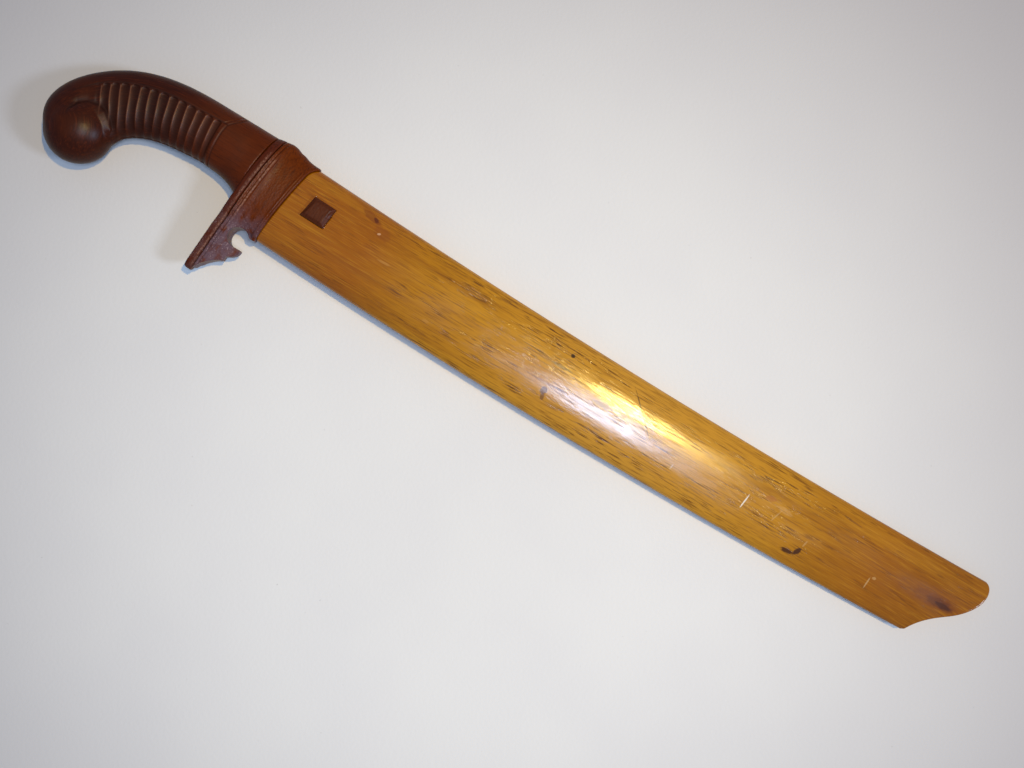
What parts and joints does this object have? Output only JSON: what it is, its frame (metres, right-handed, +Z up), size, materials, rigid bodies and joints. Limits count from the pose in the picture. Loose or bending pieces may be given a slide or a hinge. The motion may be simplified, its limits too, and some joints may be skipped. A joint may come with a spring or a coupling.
{
  "type": "machete in scabbard",
  "caption": "Machete with a curled, fluted wooden grip, sheathed in a two-board wooden scabbard with a hooked mouthpiece.",
  "frame": {"origin": "below the middle of the sheathed machete's box, on the surface that its ball rests on", "axes": "+X from the ball along the blade to the scabbard's tip, +Y towards the blade's spine, +Z up, out of the front board"},
  "size_m": [0.659, 0.0998, 0.035],
  "materials": {
    "blade_steel": "ground carbon steel with a grey patina",
    "plate_wood": "dark oiled hardwood",
    "grip_wood": "dark red-brown hardwood, polished by the hand",
    "set_resin": "dull black tree resin",
    "mouthpiece_wood": "dark oiled hardwood",
    "board_wood": "honey-brown hardwood under clear varnish",
    "stud_wood": "dark oiled hardwood"
  },
  "bodies": {
    "scabbard": {"scabbard_front": "board_wood", "scabbard_back": "board_wood", "mouthpiece": "mouthpiece_wood", "sash_stud": "stud_wood"},
    "machete": {"blade": "blade_steel", "guard_plate": "plate_wood", "grip": "grip_wood", "tang_resin": "set_resin"}
  },
  "joints": [
    {"name": "draw", "type": "slide", "parent": "scabbard", "child": "machete", "axis": [-1, 0, 0], "range_m": [0, 0.5]}
  ]
}
